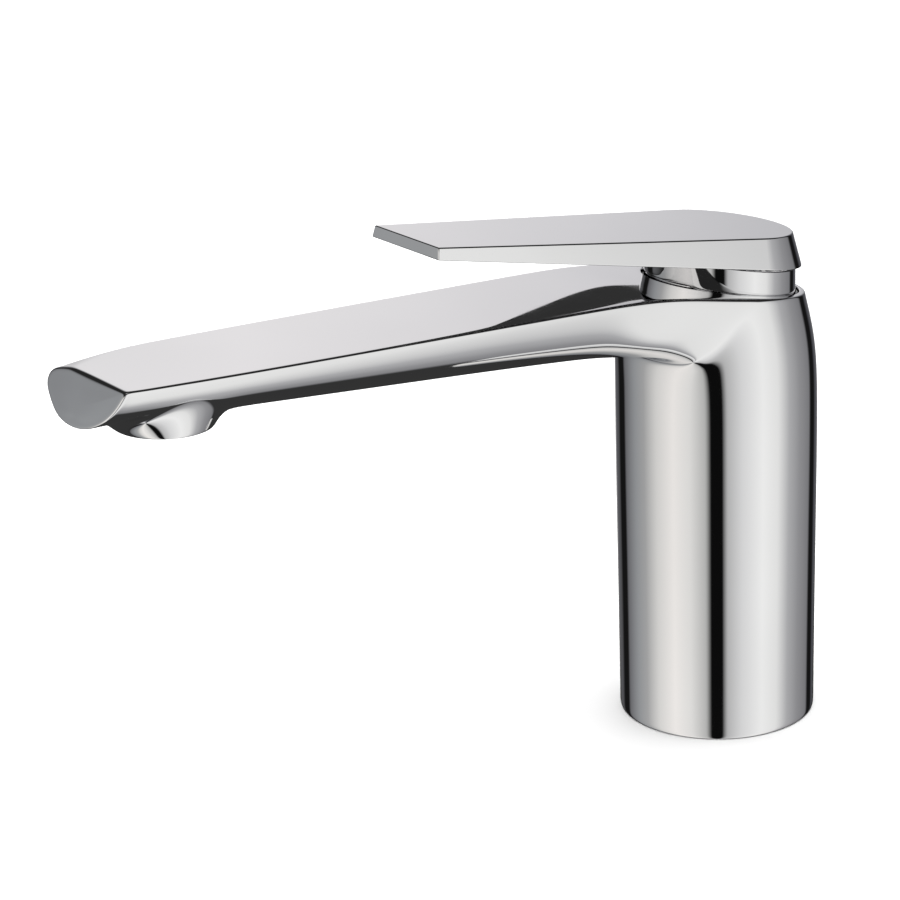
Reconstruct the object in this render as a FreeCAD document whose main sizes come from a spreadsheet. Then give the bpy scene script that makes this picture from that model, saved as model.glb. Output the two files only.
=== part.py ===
import FreeCAD, Part
import math
import os
import re

import Sketcher
from FreeCAD import Placement, Rotation, Vector

# Single-lever basin mixer. Millimetres, +Z up, the origin at the centre of the column's foot on the
# deck. The spout points along -Y and the whole mixer is symmetric about the plane X = 0.

doc = FreeCAD.newDocument("BasinMixer")
dims = doc.addObject("Spreadsheet::Sheet", "Dims")
dims.Label = "driving dimensions"

DRIVING_DIMENSIONS = {
    "throughLength": 100.0,         # depth of a pocket that goes right through its piece
    # column of the body casting
    "columnRadius": 25.0,           # at the deck
    "shoulderRadius": 25.4,         # where the column starts to curve in
    "shoulderStart": 88.0,
    "shoulderMidRadius": 24.6,
    "shoulderMidHeight": 101.0,
    "rimRadius": 21.9,              # at the height of the rim's lowest point
    "rimLowHeight": 112.5,
    "columnStock": 124.0,           # raw height before the sloping top is cut
    "rimHeight": 114.1,             # the rim's plane on the column's axis
    "rimSlope": 0.186,              # rise per millimetre towards the spout
    "rimEnd": 31.5,                 # where the rim's plane meets the spout's top
    "baseBoreRadius": 20.0,
    "baseBoreDepth": 54.0,
    "sealGrooveInner": 21.7,
    "sealGrooveOuter": 23.7,
    "sealGrooveDepth": 2.0,
    # spout of the body casting
    "spoutTopHeight": 118.4,        # the spout's top plane, carried back to the column's axis
    "spoutTopSlope": 0.051,
    "spoutRootDepth": 18.5,
    "spoutDepthLoss": 0.0475,       # depth lost per millimetre of reach
    "spoutRootStation": 10.0,
    "spoutTipReach": 178.6,         # top edge of the end face
    "spoutFaceRun": 0.577,          # forward run of the end face per millimetre of drop
    "spoutEdgeRound": 1.4,
    "outletReach": 160.6,
    "outletRimRadius": 11.4,
    "outletRimHeight": 112.4,
    "outletFlareRadius": 14.6,
    "outletFlareHeight": 118.0,
    "outletBoreRadius": 9.4,
    "outletBoreTop": 121.5,
    # waterways of the body casting
    "waterwayRadius": 3.3,
    "riserRadius": 2.2,
    "riserReach": 20.8,
    "riserTop": 111.0,
    "channelRadius": 2.6,
    "channelHeight": 66.0,
    "inletRadius": 4.5,             # tapping bore of M10 x 1
    "inletSpacing": 8.3,
    "inletReach": 3.0,
    "portRadius": 2.8,
    "outletPortBack": 8.2,
    "studRadius": 3.4,              # tapping bore of M8
    "studSpacing": 13.5,
    "studBack": 8.0,
    "studDepth": 12.0,
    # control axis: cartridge, collar and lever turn about it
    "axisBack": 1.2,
    "seatHeight": 76.0,
    "chamberRadius": 17.75,
    "nutSeatHeight": 100.0,
    "nutBoreRadius": 18.55,
    "recessFloor": 106.5,
    "recessRadius": 19.6,
    # cartridge
    "cartridgeRadius": 17.4,
    "housingBottom": 82.0,
    "housingBoreRadius": 15.5,
    "housingCeiling": 96.2,
    "neckRadius": 13.0,
    "neckTop": 108.0,
    "neckBoreRadius": 10.05,
    "rotorRadius": 10.0,
    "rotorFlangeRadius": 13.5,
    "rotorBottom": 93.4,
    "rotorFlangeTop": 96.0,
    "rotorTop": 112.2,
    "rotorSlotHalfWidth": 4.15,
    "rotorSlotHalfLength": 8.2,
    "clipGrooveRadius": 9.2,
    "clipBottom": 110.7,
    "clipTop": 111.5,
    "clipRadius": 11.6,
    "pivotHeight": 103.0,
    "pinRadius": 1.5,
    "pinClearance": 0.05,
    "pinHalfLength": 9.4,
    "spindleHalf": 4.0,
    "spindleTop": 125.4,
    "spindleNeckTop": 97.0,
    "spindleNeckRadius": 2.0,
    "ballRadius": 2.8,
    "ballHeight": 92.0,
    "socketRadius": 3.15,
    "socketBottom": 88.9,
    "discThickness": 3.0,
    "fixedDiscRadius": 15.3,
    "movingDiscRadius": 12.4,
    "movingDiscBack": 1.9,          # the moving disc's centre behind the control axis when closed
    "discGap": 0.05,
    "carrierBottom": 88.1,
    "carrierTop": 93.1,
    "keyInner": 8.5,
    "keyOuter": 10.5,
    "keyHalfLength": 6.0,
    "keyBottom": 91.5,
    "keyClearance": 0.3,
    # nut, rings and collar
    "nutRadius": 18.45,
    "nutInnerRadius": 15.5,
    "nutTop": 106.3,
    "nutNotchHalf": 2.0,
    "nutNotchDepth": 2.2,
    "limitRingInner": 13.1,
    "limitRingOuter": 15.3,
    "limitRingTop": 102.5,
    "guideRingInner": 16.0,
    "guideRingOuter": 17.4,
    "guideRingTop": 108.2,
    "collarRadius": 18.9,
    "collarInnerRadius": 17.7,
    "collarBottom": 107.1,
    "collarStock": 128.0,
    "webBottom": 108.6,
    "webTop": 110.6,
    "collarGap": 0.5,               # between the collar's top and the lever's underside
    # lever
    "leverUnderHeight": 120.95,     # the lever's underside, carried to the column's axis
    "leverUnderTilt": 11.58,        # degrees, rising towards the tip
    "leverUnderRadius": 20.7,
    "leverUnderBack": 1.2,
    "leverUnderLength": 95.7,
    "leverUnderTipHalf": 13.4,
    "leverTopHeight": 128.5,
    "leverTopTilt": 8.86,
    "leverTopRadius": 17.8,
    "leverTopBack": 1.9,
    "leverTopLength": 94.3,
    "leverTopTipHalf": 12.8,
    "leverWall": 1.5,
    "leverCavityRadius": 19.7,
    "leverCavityTopRadius": 16.2,
    "hubRadius": 7.0,
    "hubBottom": 116.0,
    "hubStock": 127.4,
    "socketClearance": 0.05,
    "screwHeight": 120.8,
    "screwRadius": 2.5,
    "screwStart": 5.3,
    "screwLength": 4.5,
    "screwClearance": 0.05,
    "coverStart": 19.4,
    "coverEnd": 20.6,
    # aerator
    "shellRadius": 9.3,
    "shellBoreRadius": 8.3,
    "shellLipRadius": 7.2,
    "shellBottom": 112.9,
    "shellLipTop": 113.9,
    "shellTop": 119.4,
    "insertTop": 116.8,
    "insertHoleRadius": 0.7,
    "screenBottom": 117.0,
    "screenTop": 117.4,
    "regulatorTop": 119.2,
    "regulatorRadius": 6.4,
    "washerInner": 6.6,
    "washerOuter": 9.2,
    "washerTop": 121.3,
}

# Stations of the spout's section: reach from the column's axis, half width of the flat top.
SPOUT_STATIONS = [("Root", 10.0, 19.3), ("Third", 60.0, 19.1), ("Middle", 110.0, 18.6),
                  ("Outlet", 150.0, 17.6), ("Tip", 192.0, 15.8)]


def fill_sheet():
    for station, reach, half_width in SPOUT_STATIONS:
        DRIVING_DIMENSIONS["reachAt" + station] = reach
        DRIVING_DIMENSIONS["halfWidthAt" + station] = half_width
    for row, (alias, size) in enumerate(DRIVING_DIMENSIONS.items(), start=1):
        dims.set("A%d" % row, alias)
        dims.set("B%d" % row, str(size))
        dims.setAlias("B%d" % row, alias)
    doc.recompute()


def linked(expression):
    """The expression with every dimension's name pointed at the sheet."""
    return re.sub(r"[A-Za-z_]\w*", lambda word: "Dims." + word.group(0), str(expression))


def size_of(expression):
    """The number that an expression in the sheet's dimensions gives now."""
    names = {alias: dims.get(alias) for alias in re.findall(r"[A-Za-z_]\w*", str(expression))}
    text = re.sub(r"[A-Za-z_]\w*", lambda word: repr(float(names[word.group(0)])), str(expression))
    return float(FreeCAD.Units.Quantity(text))


def new_body(label, back="0"):
    """A PartDesign body whose own Z axis stands the given distance behind the column's axis."""
    body = doc.addObject("PartDesign::Body", label)
    body.Label = label
    body.Placement = Placement(Vector(0, size_of(back), 0), Rotation())
    body.setExpression(".Placement.Base.y", linked(back))
    return body


def new_sketch(body, name, role, offset="0", tilt="0"):
    """A sketch on one of the body's origin planes, moved along its normal and tilted about its X."""
    sketch = body.newObject("Sketcher::SketchObject", body.Name + name)
    plane = next(item for item in body.Origin.OriginFeatures if item.Role == role)
    sketch.AttachmentSupport = [(plane, "")]
    sketch.MapMode = "FlatFace"
    rotation = Rotation(Vector(1, 0, 0), size_of(tilt))
    sketch.AttachmentOffset = Placement(Vector(0, 0, size_of(offset)), rotation)
    sketch.setExpression(".AttachmentOffset.Base.z", linked(offset))
    return sketch


def bind(sketch, kind, geometry, vertex, expression):
    """Hold one coordinate of a sketch's point at a dimension, on the axis itself where it is zero."""
    value = size_of(expression)
    if abs(value) < 1e-9:
        axis = -2 if kind == "DistanceX" else -1
        sketch.addConstraint(Sketcher.Constraint("PointOnObject", geometry, vertex, axis))
        return
    number = sketch.addConstraint(Sketcher.Constraint(kind, -1, 1, geometry, vertex, value))
    sketch.setExpression("Constraints[%d]" % number, linked(expression))


def draw_polygon(sketch, corners):
    """A closed outline of straight lines through corners given as pairs of expressions."""
    first = sketch.GeometryCount
    points = [Vector(size_of(across), size_of(up), 0) for across, up in corners]
    for index, point in enumerate(points):
        sketch.addGeometry(Part.LineSegment(point, points[(index + 1) % len(points)]))
    for index, (across, up) in enumerate(corners):
        following = first + (index + 1) % len(corners)
        sketch.addConstraint(Sketcher.Constraint("Coincident", first + index, 2, following, 1))
        bind(sketch, "DistanceX", first + index, 1, across)
        bind(sketch, "DistanceY", first + index, 1, up)


def draw_circle(sketch, across, up, radius):
    centre = Vector(size_of(across), size_of(up), 0)
    number = sketch.addGeometry(Part.Circle(centre, Vector(0, 0, 1), size_of(radius)))
    bind(sketch, "DistanceX", number, 3, across)
    bind(sketch, "DistanceY", number, 3, up)
    held = sketch.addConstraint(Sketcher.Constraint("Radius", number, size_of(radius)))
    sketch.setExpression("Constraints[%d]" % held, linked(radius))


def draw_rectangle(sketch, left, bottom, right, top):
    draw_polygon(sketch, [(left, bottom), (right, bottom), (right, top), (left, top)])


def feature(body, kind, name, sketch):
    added = body.newObject("PartDesign::" + kind, body.Name + name)
    added.Profile = sketch
    return added


def turn(body, name, corners, kind="Revolution", offset="0"):
    """Turn a half section, given as radius and height, about the body's upright axis."""
    sketch = new_sketch(body, name + "Section", "XZ_Plane", offset)
    draw_polygon(sketch, corners)
    turned = feature(body, kind, name, sketch)
    turned.ReferenceAxis = (sketch, ["V_Axis"])
    turned.Angle = 360.0
    doc.recompute()
    return turned


def ring(body, name, inner, outer, bottom, top, kind="Revolution"):
    return turn(body, name, [(inner, bottom), (outer, bottom), (outer, top), (inner, top)], kind)


def pad_up(body, name, sketch, height):
    pad = feature(body, "Pad", name, sketch)
    pad.Length = size_of(height)
    pad.setExpression("Length", linked(height))
    doc.recompute()
    return pad


def cut(body, name, sketch, depth=None, upward=False, both_ways=False):
    """Pocket a sketch to a depth, or right through, and make sure that it removed something."""
    before = body.Shape.Volume
    pocket = feature(body, "Pocket", name, sketch)
    depth = depth or "throughLength"
    pocket.Length = size_of(depth)
    pocket.setExpression("Length", linked(depth))
    pocket.Reversed = upward
    pocket.SideType = "Symmetric" if both_ways else "One side"
    doc.recompute()
    if body.Shape.Volume > before - 1e-3:
        raise RuntimeError("%s removed nothing from %s" % (name, body.Label))
    return pocket


def repeat(body, name, base, count):
    """Repeat one feature of a body evenly round its upright axis."""
    pattern = body.newObject("PartDesign::PolarPattern", body.Name + name)
    pattern.Originals = [base]
    axis = next(item for item in body.Origin.OriginFeatures if item.Role == "Z_Axis")
    pattern.Axis = (axis, [""])
    pattern.Angle = 360.0
    pattern.Occurrences = count
    body.Tip = pattern
    doc.recompute()
    return pattern


# ---- body casting -------------------------------------------------------------------------------

def add_column(body):
    """The column: a slight taper, then an arc that brings the shoulder in to the rim."""
    sketch = new_sketch(body, "ColumnSection", "XZ_Plane")
    foot = Vector(size_of("columnRadius"), 0, 0)
    start = Vector(size_of("shoulderRadius"), size_of("shoulderStart"), 0)
    middle = Vector(size_of("shoulderMidRadius"), size_of("shoulderMidHeight"), 0)
    rim = Vector(size_of("rimRadius"), size_of("rimLowHeight"), 0)
    stock = Vector(rim.x, size_of("columnStock"), 0)
    lines = [(Vector(0, 0, 0), foot), (foot, start), None, (rim, stock),
             (stock, Vector(0, stock.y, 0)), (Vector(0, stock.y, 0), Vector(0, 0, 0))]
    for line in lines:
        if line is None:
            arc = sketch.addGeometry(Part.Arc(start, middle, rim))
        else:
            sketch.addGeometry(Part.LineSegment(*line))
    # the arc's geometry runs anticlockwise, from the shoulder's start up to the rim
    for one, end, other, beginning in ((0, 2, 1, 1), (1, 2, arc, 1), (arc, 2, 3, 1), (3, 2, 4, 1),
                                       (4, 2, 5, 1), (5, 2, 0, 1)):
        sketch.addConstraint(Sketcher.Constraint("Coincident", one, end, other, beginning))
    for geometry, across, up in ((0, "0", "0"), (1, "columnRadius", "0"),
                                 (3, "rimRadius", "rimLowHeight"), (4, "rimRadius", "columnStock"),
                                 (5, "0", "columnStock")):
        bind(sketch, "DistanceX", geometry, 1, across)
        bind(sketch, "DistanceY", geometry, 1, up)
    bind(sketch, "DistanceX", 1, 2, "shoulderRadius")
    bind(sketch, "DistanceY", 1, 2, "shoulderStart")
    column = feature(body, "Revolution", "Column", sketch)
    column.ReferenceAxis = (sketch, ["V_Axis"])
    column.Angle = 360.0
    doc.recompute()


def add_spout_section(body, station):
    """A D-shaped section: a flat top, one arc for the sides and belly, and two small corner arcs."""
    reach = "reachAt" + station
    half_width = "halfWidthAt" + station
    top = "(spoutTopHeight + spoutTopSlope * %s)" % reach
    depth = "(spoutRootDepth - spoutDepthLoss * (%s - spoutRootStation))" % reach
    radius = "(%s * %s + %s * %s) / (2 * %s)" % (half_width, half_width, depth, depth, depth)
    centre_height = "%s - %s + %s" % (top, depth, radius)
    corner = size_of("spoutEdgeRound")
    level, large, middle = size_of(top), size_of(radius), Vector(0, size_of(centre_height), 0)
    fall = level - corner - middle.y
    across = math.sqrt((large - corner) ** 2 - fall ** 2)
    slant = math.atan2(fall, across)

    sketch = new_sketch(body, "SpoutAt" + station, "XZ_Plane", reach)
    up = Vector(0, 0, 1)
    flat = sketch.addGeometry(Part.LineSegment(Vector(across, level, 0), Vector(-across, level, 0)))
    left = sketch.addGeometry(Part.ArcOfCircle(Part.Circle(Vector(-across, level - corner, 0), up, corner),
                                               math.pi / 2, math.pi - slant))
    belly = sketch.addGeometry(Part.ArcOfCircle(Part.Circle(middle, up, large),
                                                math.pi - slant, 2 * math.pi + slant))
    right = sketch.addGeometry(Part.ArcOfCircle(Part.Circle(Vector(across, level - corner, 0), up, corner),
                                                slant, math.pi / 2))
    for one, other in ((flat, left), (left, belly), (belly, right), (right, flat)):
        sketch.addConstraint(Sketcher.Constraint("Tangent", one, 2, other, 1))
    sketch.addConstraint(Sketcher.Constraint("Horizontal", flat))
    bind(sketch, "DistanceY", flat, 1, top)
    bind(sketch, "DistanceX", belly, 3, "0")
    bind(sketch, "DistanceY", belly, 3, centre_height)
    for arc, bend in ((belly, radius), (left, "spoutEdgeRound"), (right, "spoutEdgeRound")):
        held = sketch.addConstraint(Sketcher.Constraint("Radius", arc, size_of(bend)))
        sketch.setExpression("Constraints[%d]" % held, linked(bend))
    return sketch


def add_spout(body):
    sections = [add_spout_section(body, station) for station, _, _ in SPOUT_STATIONS]
    spout = body.newObject("PartDesign::AdditiveLoft", "SpoutLoft")
    spout.Profile = sections[0]
    spout.Sections = sections[1:]
    doc.recompute()


def add_outlet_boss(body):
    """The flared boss under the tip that carries the aerator."""
    sketch = new_sketch(body, "OutletSection", "XZ_Plane", "outletReach")
    draw_polygon(sketch, [("0", "outletRimHeight"), ("outletRimRadius", "outletRimHeight"),
                          ("outletFlareRadius", "outletFlareHeight"),
                          ("0", "outletFlareHeight")])
    boss = feature(body, "Revolution", "OutletBoss", sketch)
    boss.ReferenceAxis = (sketch, ["V_Axis"])
    boss.Angle = 360.0
    doc.recompute()


def cut_sloping_top(body):
    """The rim's plane, from behind the column to the line where it meets the spout's top."""
    sketch = new_sketch(body, "TopOutline", "YZ_Plane")
    draw_polygon(sketch, [("0 - rimEnd", "rimHeight + rimSlope * rimEnd"),
                          ("columnStock / 4", "rimHeight - rimSlope * columnStock / 4"),
                          ("columnStock / 4", "columnStock + 4"),
                          ("0 - rimEnd", "columnStock + 4")])
    cut(body, "SlopingTop", sketch, both_ways=True)


def cut_end_face(body):
    """The flat end face, which leans forward towards its lower lip."""
    top = "(spoutTopHeight + spoutTopSlope * spoutTipReach)"
    sketch = new_sketch(body, "EndOutline", "YZ_Plane")
    draw_polygon(sketch, [("0 - spoutTipReach + 5 * spoutFaceRun", top + " + 5"),
                          ("0 - spoutTipReach - 22 * spoutFaceRun", top + " - 22"),
                          ("0 - spoutTipReach - 30", top + " - 22"),
                          ("0 - spoutTipReach - 30", top + " + 5")])
    cut(body, "EndFace", sketch, both_ways=True)


def cut_control_chamber(body):
    """The stepped bore for the cartridge, its nut and the collar, on the control axis."""
    sketch = new_sketch(body, "ChamberSection", "XZ_Plane", "0 - axisBack")
    draw_polygon(sketch, [("0", "seatHeight"), ("chamberRadius", "seatHeight"),
                          ("chamberRadius", "nutSeatHeight"), ("nutBoreRadius", "nutSeatHeight"),
                          ("nutBoreRadius", "recessFloor"), ("recessRadius", "recessFloor"),
                          ("recessRadius", "columnStock + 4"), ("0", "columnStock + 4")])
    chamber = feature(body, "Groove", "Chamber", sketch)
    chamber.ReferenceAxis = (sketch, ["V_Axis"])
    chamber.Angle = 360.0
    doc.recompute()


def cut_base(body):
    """The hollow foot, and the groove for its seal."""
    bore = new_sketch(body, "BaseBoreOutline", "XY_Plane")
    draw_circle(bore, "0", "0", "baseBoreRadius")
    cut(body, "BaseBore", bore, "baseBoreDepth", upward=True)
    groove = new_sketch(body, "SealGrooveOutline", "XY_Plane")
    draw_circle(groove, "0", "0", "sealGrooveInner")
    draw_circle(groove, "0", "0", "sealGrooveOuter")
    cut(body, "SealGroove", groove, "sealGrooveDepth", upward=True)


def cut_inlets(body):
    """Threaded inlets, stud holes and cartridge ports in the block above the hollow foot."""
    threads = new_sketch(body, "InletOutline", "XY_Plane", "baseBoreDepth")
    studs = new_sketch(body, "StudOutline", "XY_Plane", "baseBoreDepth")
    ports = new_sketch(body, "PortOutline", "XY_Plane", "seatHeight")
    for side in ("0 - ", ""):
        draw_circle(threads, side + "inletSpacing", "0 - inletReach", "inletRadius")
        draw_circle(studs, side + "studSpacing", "studBack", "studRadius")
        draw_circle(ports, side + "inletSpacing", "0 - inletReach", "portRadius")
    cut(body, "Inlets", threads, "seatHeight - baseBoreDepth - 5", upward=True)
    cut(body, "Studs", studs, "studDepth", upward=True)
    cut(body, "InletPorts", ports, "6")
    outlet = new_sketch(body, "OutletPortOutline", "XY_Plane", "seatHeight")
    draw_circle(outlet, "0", "outletPortBack", "portRadius")
    cut(body, "OutletPort", outlet, "seatHeight - channelHeight")


def cut_waterway(body):
    """From the outlet port forward under the cartridge, up the front, and along the spout."""
    channel = new_sketch(body, "ChannelOutline", "XZ_Plane", "riserReach")
    draw_circle(channel, "0", "channelHeight", "channelRadius")
    cut(body, "Channel", channel, "riserReach + outletPortBack")
    riser = new_sketch(body, "RiserOutline", "XY_Plane", "channelHeight")
    draw_circle(riser, "0", "0 - riserReach", "riserRadius")
    cut(body, "Riser", riser, "riserTop - channelHeight", upward=True)
    run = size_of("outletReach - riserReach")
    rise = size_of("outletBoreTop") - 1.4 - size_of("riserTop")
    spout_way = body.newObject("PartDesign::SubtractiveCylinder", "SpoutWay")
    spout_way.Radius = size_of("waterwayRadius")
    spout_way.setExpression("Radius", linked("waterwayRadius"))
    spout_way.Height = math.hypot(run, rise)
    lean = Rotation(Vector(1, 0, 0), 90.0 - math.degrees(math.atan2(rise, run)))
    start = Vector(0, -size_of("riserReach") + 0.5, size_of("riserTop"))
    spout_way.MapMode = "Deactivated"
    spout_way.Placement = Placement(start, lean)
    doc.recompute()


def cut_outlet_bore(body):
    bore = new_sketch(body, "OutletBoreOutline", "XY_Plane", "outletRimHeight")
    draw_circle(bore, "0", "0 - outletReach", "outletBoreRadius")
    cut(body, "OutletBore", bore, "outletBoreTop - outletRimHeight", upward=True)


def make_body_casting():
    body = new_body("body_casting")
    add_spout(body)
    add_column(body)
    add_outlet_boss(body)
    cut_end_face(body)
    cut_sloping_top(body)
    cut_control_chamber(body)
    cut_base(body)
    cut_inlets(body)
    cut_waterway(body)
    cut_outlet_bore(body)
    return body


def make_base_seal():
    body = new_body("base_seal")
    ring(body, "Ring", "sealGrooveInner + 0.05", "sealGrooveOuter - 0.05", "0", "sealGrooveDepth - 0.1")
    return body


# ---- cartridge ----------------------------------------------------------------------------------

def port_circles(sketch, radius):
    """The three ports, placed from the control axis: two inlets in front, the outlet behind."""
    for side in ("0 - ", ""):
        draw_circle(sketch, side + "inletSpacing", "0 - inletReach - axisBack", radius)
    draw_circle(sketch, "0", "outletPortBack - axisBack", radius)


def make_cartridge_base():
    body = new_body("cartridge_base", "axisBack")
    turn(body, "Plate", [("0", "seatHeight"), ("cartridgeRadius", "seatHeight"),
                         ("cartridgeRadius", "housingBottom"), ("0", "housingBottom")])
    ports = new_sketch(body, "Ports", "XY_Plane", "seatHeight")
    port_circles(ports, "portRadius")
    cut(body, "PortHoles", ports, upward=True)
    seats = new_sketch(body, "SealSeats", "XY_Plane", "seatHeight")
    port_circles(seats, "portRadius + 1.6")
    cut(body, "SealPockets", seats, "1.6", upward=True)
    return body


def make_port_seals():
    body = new_body("cartridge_port_seals", "axisBack")
    sketch = new_sketch(body, "Rings", "XY_Plane", "seatHeight")
    port_circles(sketch, "portRadius + 1.5")
    port_circles(sketch, "portRadius + 0.1")
    seals = pad_up(body, "Seals", sketch, "1.5")
    seals.AllowMultiFace = True
    body.AllowCompound = True
    doc.recompute()
    return body


def make_cartridge_housing():
    body = new_body("cartridge_housing", "axisBack")
    turn(body, "Shell", [("housingBoreRadius", "housingBottom"), ("cartridgeRadius", "housingBottom"),
                         ("cartridgeRadius", "nutSeatHeight"), ("neckRadius", "nutSeatHeight"),
                         ("neckRadius", "neckTop"), ("neckBoreRadius", "neckTop"),
                         ("neckBoreRadius", "housingCeiling"),
                         ("housingBoreRadius", "housingCeiling")])
    return body


def make_fixed_disc():
    body = new_body("fixed_disc", "axisBack")
    turn(body, "Disc", [("0", "housingBottom"), ("fixedDiscRadius", "housingBottom"),
                        ("fixedDiscRadius", "housingBottom + discThickness"),
                        ("0", "housingBottom + discThickness")])
    ports = new_sketch(body, "Ports", "XY_Plane", "housingBottom")
    port_circles(ports, "portRadius")
    cut(body, "PortHoles", ports, upward=True)
    return body


def make_moving_disc():
    """The upper ceramic disc, with the mixing chamber in its lower face."""
    body = new_body("moving_disc", "axisBack + movingDiscBack")
    bottom = "housingBottom + discThickness + discGap"
    turn(body, "Disc", [("0", bottom), ("movingDiscRadius", bottom),
                        ("movingDiscRadius", "carrierBottom"), ("0", "carrierBottom")])
    chamber = new_sketch(body, "Chamber", "XY_Plane", bottom)
    draw_polygon(chamber, [("0 - 8", "0 - 2.2"), ("8", "0 - 2.2"), ("3", "8"), ("0 - 3", "8")])
    cut(body, "MixingChamber", chamber, "1.8", upward=True)
    return body


def make_disc_carrier():
    """The slider above the moving disc: a socket for the spindle's ball and two key grooves."""
    body = new_body("disc_carrier", "axisBack + movingDiscBack")
    turn(body, "Slider", [("0", "carrierBottom"), ("movingDiscRadius", "carrierBottom"),
                          ("movingDiscRadius", "carrierTop"), ("0", "carrierTop")])
    socket = new_sketch(body, "Socket", "XY_Plane", "carrierTop")
    draw_circle(socket, "0", "0 - movingDiscBack", "socketRadius")
    cut(body, "BallSocket", socket, "carrierTop - socketBottom")
    grooves = new_sketch(body, "KeyGrooves", "XY_Plane", "carrierTop")
    for side in ("", "0 - "):
        draw_rectangle(grooves, side + "(keyInner - keyClearance)", "0 - movingDiscRadius - 1",
                       side + "(keyOuter + keyClearance)", "movingDiscRadius + 1")
    cut(body, "KeySlots", grooves, "carrierTop - keyBottom + keyClearance")
    return body


def make_rotor():
    """The turning core: it carries the pin, the collar and, by its keys, the disc carrier."""
    body = new_body("rotor", "axisBack")
    turn(body, "Core", [("0", "rotorBottom"), ("rotorFlangeRadius", "rotorBottom"),
                        ("rotorFlangeRadius", "rotorFlangeTop"), ("rotorRadius", "rotorFlangeTop"),
                        ("rotorRadius", "clipBottom"), ("clipGrooveRadius", "clipBottom"),
                        ("clipGrooveRadius", "clipTop"), ("rotorRadius", "clipTop"),
                        ("rotorRadius", "rotorTop"), ("0", "rotorTop")])
    keys = new_sketch(body, "Keys", "XY_Plane", "keyBottom")
    for side in ("", "0 - "):
        draw_rectangle(keys, side + "keyInner", "0 - keyHalfLength", side + "keyOuter",
                       "keyHalfLength")
    pad_up(body, "DriveKeys", keys, "rotorFlangeTop - keyBottom")
    slot = new_sketch(body, "Slot", "XY_Plane", "rotorBottom - 3")
    draw_rectangle(slot, "0 - rotorSlotHalfWidth", "0 - rotorSlotHalfLength",
                   "rotorSlotHalfWidth", "rotorSlotHalfLength")
    cut(body, "SpindleSlot", slot, upward=True)
    pin = new_sketch(body, "PinHole", "YZ_Plane")
    draw_circle(pin, "0", "pivotHeight", "pinRadius")
    cut(body, "PinBore", pin, both_ways=True)
    return body


def make_pivot_pin():
    body = new_body("pivot_pin", "axisBack")
    sketch = new_sketch(body, "Section", "YZ_Plane")
    draw_circle(sketch, "0", "pivotHeight", "pinRadius")
    pin = pad_up(body, "Pin", sketch, "2 * pinHalfLength")
    pin.SideType = "Symmetric"
    doc.recompute()
    return body


def make_spindle():
    """The square spindle: a pivot bore at mid length and a ball at its foot."""
    body = new_body("spindle", "axisBack")
    square = new_sketch(body, "Square", "XY_Plane", "spindleNeckTop")
    draw_rectangle(square, "0 - spindleHalf", "0 - spindleHalf", "spindleHalf", "spindleHalf")
    pad_up(body, "Shank", square, "spindleTop - spindleNeckTop")
    turn(body, "Neck", [("0", "ballHeight"), ("spindleNeckRadius", "ballHeight"),
                        ("spindleNeckRadius", "spindleNeckTop + 1"),
                        ("0", "spindleNeckTop + 1")])
    ball = body.newObject("PartDesign::AdditiveSphere", "SpindleBall")
    ball.Radius = size_of("ballRadius")
    ball.setExpression("Radius", linked("ballRadius"))
    ball.MapMode = "Deactivated"
    ball.Placement = Placement(Vector(0, 0, size_of("ballHeight")), Rotation())
    doc.recompute()
    pin = new_sketch(body, "PinHole", "YZ_Plane")
    draw_circle(pin, "0", "pivotHeight", "pinRadius + pinClearance")
    cut(body, "PinBore", pin, both_ways=True)
    return body


# ---- nut, rings and collar ----------------------------------------------------------------------

def make_cartridge_nut():
    body = new_body("cartridge_nut", "axisBack")
    ring(body, "Ring", "nutInnerRadius", "nutRadius", "nutSeatHeight", "nutTop")
    notch = new_sketch(body, "Notch", "XY_Plane", "nutTop")
    draw_rectangle(notch, "nutInnerRadius - 1", "0 - nutNotchHalf", "nutRadius + 1", "nutNotchHalf")
    first = cut(body, "WrenchNotch", notch, "nutNotchDepth")
    repeat(body, "WrenchNotches", first, 4)
    return body


def make_limit_ring():
    """The hot-water stop: a splined ring round the cartridge's neck."""
    body = new_body("temperature_limit_ring", "axisBack")
    ring(body, "Ring", "limitRingInner", "limitRingOuter", "nutSeatHeight + 0.05", "limitRingTop")
    tooth = new_sketch(body, "Tooth", "XY_Plane", "limitRingTop")
    draw_rectangle(tooth, "limitRingInner + 0.3", "0 - 0.8", "limitRingOuter - 0.3", "0.8")
    first = pad_up(body, "StopTooth", tooth, "1.2")
    repeat(body, "StopTeeth", first, 12)
    return body


def make_guide_ring():
    body = new_body("collar_guide_ring", "axisBack")
    ring(body, "Ring", "guideRingInner", "guideRingOuter", "nutTop", "guideRingTop")
    return body


def make_trim_collar():
    """The turning collar: a thin skirt with a web that sits on the rotor, cut to the lever's slope."""
    body = new_body("trim_collar", "axisBack")
    turn(body, "Skirt", [("collarInnerRadius", "collarBottom"), ("collarRadius", "collarBottom"),
                         ("collarRadius", "collarStock"), ("collarInnerRadius", "collarStock"),
                         ("collarInnerRadius", "webTop"), ("rotorRadius + 0.03", "webTop"),
                         ("rotorRadius + 0.03", "webBottom"), ("collarInnerRadius", "webBottom")])
    slope = math.tan(math.radians(size_of("leverUnderTilt")))
    level = size_of("leverUnderHeight - collarGap") - slope * size_of("axisBack")
    reach = size_of("collarRadius") + 3
    sketch = new_sketch(body, "TopOutline", "YZ_Plane")
    draw_polygon(sketch, [(-reach, level + slope * reach), (reach, level - slope * reach),
                          (reach, "collarStock + 2"), (-reach, "collarStock + 2")])
    cut(body, "SlopingTop", sketch, both_ways=True)
    return body


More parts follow.
